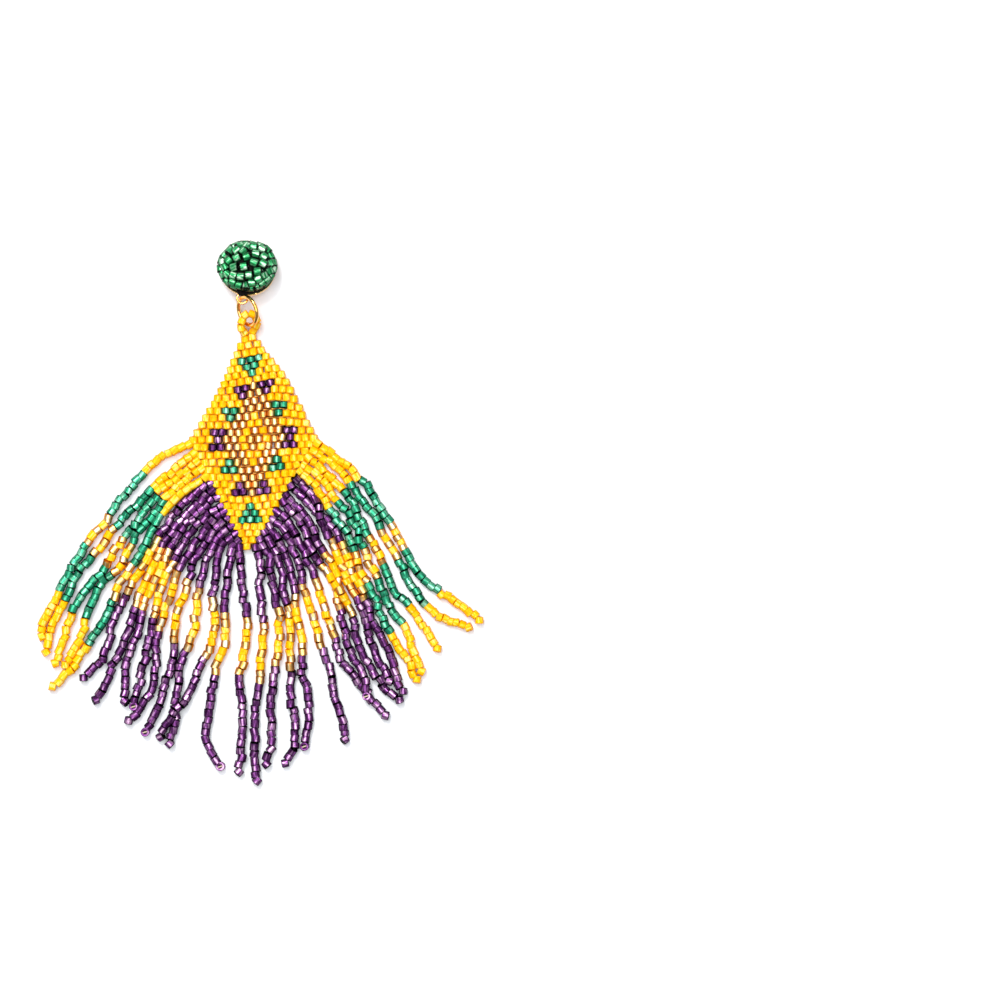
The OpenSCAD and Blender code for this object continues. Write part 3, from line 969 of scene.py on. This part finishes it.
def dome_surface(x, y, inset):
    """The dome's place at x, y in the stud's frame, inset in its shell, and the normal there."""
    a, b, c = DOME_W / 2 - inset, DOME_L / 2 - inset, DOME_H - DOME_WAIST - inset
    v = y - DOME_SHIFT
    reach = math.sqrt((x / a) ** 2 + (v / b) ** 2)
    if reach > DOME_EDGE:
        x, v = x * DOME_EDGE / reach, v * DOME_EDGE / reach
    z = c * math.sqrt(1 - (x / a) ** 2 - (v / b) ** 2)
    normal = unit(np.array([x / a**2, v / b**2, z / c**2]))
    return np.array([x, v + DOME_SHIFT, DOME_WAIST + z]), normal


def dome_seen_at(dx, dy):
    """Where a bead's middle is that the camera sees dx across and dy up from DOME_SEEN_AT."""
    seen = DOME_SEEN_AT + [dx, dy]
    origin = STUD_AT + CENTRE_SHIFT
    x, y = seen - origin[:2]
    for _ in range(SIGHT_STEPS):
        p, normal = dome_surface(x, y, BEAD_R)
        height = in_stud(p)[2]
        nearer = 1 - height / SEEN_FROM[2]
        x, y = SEEN_FROM[:2] + (seen - SEEN_FROM[:2]) * nearer - origin[:2]
        y = (y - math.sin(STUD_LEAN) * p[2]) / math.cos(STUD_LEAN)
    return p, normal


def dome_beads():
    """Middles and hole axes of the dome's beads, in the stud's frame."""
    at, axis = [], []
    a, b = DOME_W / 2 - BEAD_R, DOME_L / 2 - BEAD_R
    for k in range(DOME_RING_BEADS):
        t = 2 * math.pi * (k + DOME_RING_TURN) / DOME_RING_BEADS
        out = DOME_TOP_REACH * max(math.sin(t), 0)
        y, z = (b + out) * math.sin(t) + DOME_SHIFT, DOME_WAIST - DOME_RING_DROP - out
        at.append([a * math.cos(t), y, z])
        axis.append([-a * math.sin(t), b * math.cos(t), DOME_RING_LEAN * (-1) ** k])
    ring = len(at)
    at = list(np.array(at) + np.random.default_rng(53).normal(0, DOME_RING_STRAY, (ring, 3)))
    for dx, dy, turn in DOME_CHART:
        p, normal = dome_seen_at(dx, dy)
        at.append(p)
        if turn is None:
            axis.append(normal)
            continue
        t = math.radians(turn)
        way = np.array([math.cos(t), math.sin(t), 0.0])
        axis.append(way - normal * (way @ normal))
    at, axis = np.array(at), unit(np.array(axis))
    home = at.copy()
    for _ in range(DOME_STEPS):
        d = at[:, None] - at[None]
        gap = np.linalg.norm(d, axis=2) + np.eye(len(at)) * FAR
        push = (np.maximum(DOME_BEAD_GAP - gap, 0) / gap * DOME_PUSH)[..., None] * d
        at[ring:] += push.sum(1)[ring:] + (home - at)[ring:] * DOME_HOME_PULL
        for k in range(ring, len(at)):
            at[k] = dome_surface(at[k, 0], at[k, 1], BEAD_R)[0]
    return at, axis


def bead_dome(materials, felt, thread):
    at, axis = dome_beads()
    lengths = np.full(len(at), DOME_BEAD_LENGTH)
    lengths[:DOME_RING_BEADS] = DOME_RING_BEAD_LENGTH
    lengths[DOME_TOP_BEADS] = DOME_TOP_BEAD_LENGTH
    obj = bead_mesh(
        "bead_dome_beads", in_stud(at), stud_turned(axis), [D] * len(at), 51, materials, lengths,
        DOME_LEAN, DOME_GIRTH, DOME_BEVEL,
    )
    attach(obj, "root")
    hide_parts("bead_dome")
    felt_mound(felt)
    paths = []
    for p, way in zip(at, axis):
        for out in (-way, way):
            end = p + out * STITCH_REACH
            over = end + out * STITCH_OUT - unit(p - FELT_BASE) * STITCH_DROP
            down = end * STITCH_DEPTH + out * STITCH_OUT / 2
            paths.append(in_stud([p, end, over, down]))
    draws = np.random.default_rng(52).uniform(0, 1, len(paths))
    shades = np.where(draws > 1 - PALE_STITCHES, PALE, DARK)
    threads = thread_mesh("bead_dome_stitches", paths, shades, STITCH_R, thread)
    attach(threads, "root")


def ball_points(lowest, highest):
    """Points of a unit ball between two heights, given as angles in degrees, ring by ring."""
    t = np.radians(np.linspace(lowest, highest, FELT_LEVELS + 1))[:, None]
    s = 2 * np.pi * np.arange(FELT_SIDES)[None] / FELT_SIDES
    points = [np.cos(t) * np.cos(s), np.cos(t) * np.sin(s), np.sin(t) + 0 * s]
    return np.stack(points, -1).reshape(-1, 3)


def felt_mound(felt):
    """The stiff felt under the beads: an oval mound, and a bulge of it over the cup's rim."""
    rng = np.random.default_rng(61)
    size = np.array([DOME_W / 2, DOME_L / 2, DOME_H]) - FELT_DEPTH - FELT_BASE
    mound = ball_points(0, FELT_STEEPEST) * size + FELT_BASE + [0, DOME_SHIFT, 0]
    mound += unit(mound - FELT_BASE) * rng.normal(0, FELT_STRAY, (len(mound), 1))
    bulge = ball_points(-FELT_STEEPEST, FELT_STEEPEST)
    bulge = bulge * (BULGE_SIZE + rng.normal(0, BULGE_STRAY, (len(bulge), 1)))
    verts = np.concatenate([in_stud(mound), bulge + BULGE_AT + CENTRE_SHIFT])
    quads = tube_quads(FELT_LEVELS + 1, FELT_SIDES)[0]
    quads = np.concatenate([quads, quads + len(mound)])
    uvs = np.stack([quads % FELT_SIDES, quads // FELT_SIDES], -1).reshape(-1, 2) / FELT_TEXTURE
    tint, index = np.zeros(len(verts)), np.zeros(len(quads))
    obj = mesh_object("bead_dome_felt", verts, quads, uvs, tint, index, [felt])
    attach(obj, "root")


# Assembly

materials = {colour: bead_material(**look) for colour, look in BEAD_LOOKS.items()}
metal, felt, thread = gold_metal(), black_felt(), bead_thread()
for name, look in (
    ("stud_cup", metal), ("ear_clip", metal), ("jump_ring", metal), ("dome_felt", felt)
):
    slots = frame["nodes"][name].data.materials
    slots.clear()
    slots.append(look)

panel = diamond_beads()
woven_diamond(panel, materials, thread)
heads = [end_bead(side, i) for i in HEAD_ROWS for side in (LEFT, RIGHT)]
strings = settled_strings(np.array([at for at, _, _ in panel] + heads))
half = len(LEFT_STRANDS)
fringe("fringe_left", LEFT, strings[:half], 11, materials, thread)
fringe("fringe_right", RIGHT, strings[half:], 12, materials, thread)
bead_loop(materials, thread)
bead_dome(materials, felt, thread)


# Floor, light and camera, in metres

CAMERA_AT = SEEN_FROM * MM
PHOTO_WIDTH = 0.2
SENSOR = 36.0
NEAREST = 0.01
FLOOR_HALF, FLOOR_Z = 2.5, -0.00002


def floor():
    mesh = bpy.data.meshes.new("floor")
    corners = [(x * FLOOR_HALF, y * FLOOR_HALF, 0) for x, y in ((-1, -1), (1, -1), (1, 1), (-1, 1))]
    mesh.from_pydata(corners, [], [(0, 1, 2, 3)])
    obj = bpy.data.objects.new("floor", mesh)
    obj.location.z = FLOOR_Z
    bpy.context.scene.collection.objects.link(obj)
    m, shader = new_material("white_paper")
    place = node(m, "TexCoord").outputs["Object"]
    stops = [(0.3, (0.88, 0.90, 0.94)), (0.7, (0.90, 0.92, 0.96))]
    link(m, ramp(m, noise(m, place, 40.0), stops), shader.inputs["Base Color"])
    set_inputs(shader, {"Roughness": 0.9})
    mesh.materials.append(m)


def area_light(name, at, size, watts, colour=WHITE):
    """A soft box that shines on the middle of the scene."""
    data = bpy.data.lights.new(name, "AREA")
    data.shape = "RECTANGLE"
    data.size, data.size_y = size
    data.energy = watts
    data.color = colour
    obj = bpy.data.objects.new(name, data)
    way = Vector((0, 0, 0)) - Vector(at)
    obj.location = at
    obj.rotation_euler = way.to_track_quat("-Z", "Y").to_euler()
    bpy.context.scene.collection.objects.link(obj)


def world():
    """A studio that is dark below and pale above."""
    w = bpy.data.worlds.new("studio")
    back = new_shader(w, "OutputWorld", "Background")
    split = node(w, "SeparateXYZ")
    link(w, node(w, "TexCoord").outputs["Generated"], split.inputs["Vector"])
    shades = ramp(w, split.outputs["Z"], [(0.0, (0.05, 0.05, 0.05)), (0.75, (0.6, 0.6, 0.6))])
    link(w, shades, back.inputs["Color"])
    set_inputs(back, {"Strength": 0.6})
    bpy.context.scene.world = w


def camera():
    data = bpy.data.cameras.new("camera")
    data.sensor_width = SENSOR
    data.lens = SENSOR * CAMERA_AT[2] / PHOTO_WIDTH
    data.clip_start = NEAREST
    data.dof.use_dof = False
    obj = bpy.data.objects.new("camera", data)
    obj.location = CAMERA_AT
    bpy.context.scene.collection.objects.link(obj)
    bpy.context.scene.camera = obj


floor()
world()
area_light("key", (-0.25, 0.7, 0.95), (0.4, 0.4), 10.0, (1.0, 0.98, 0.95))
area_light("overhead", (0.0, 0.05, 1.0), (1.1, 0.8), 9.0)
camera()
bpy.context.scene.view_settings.view_transform = "Standard"
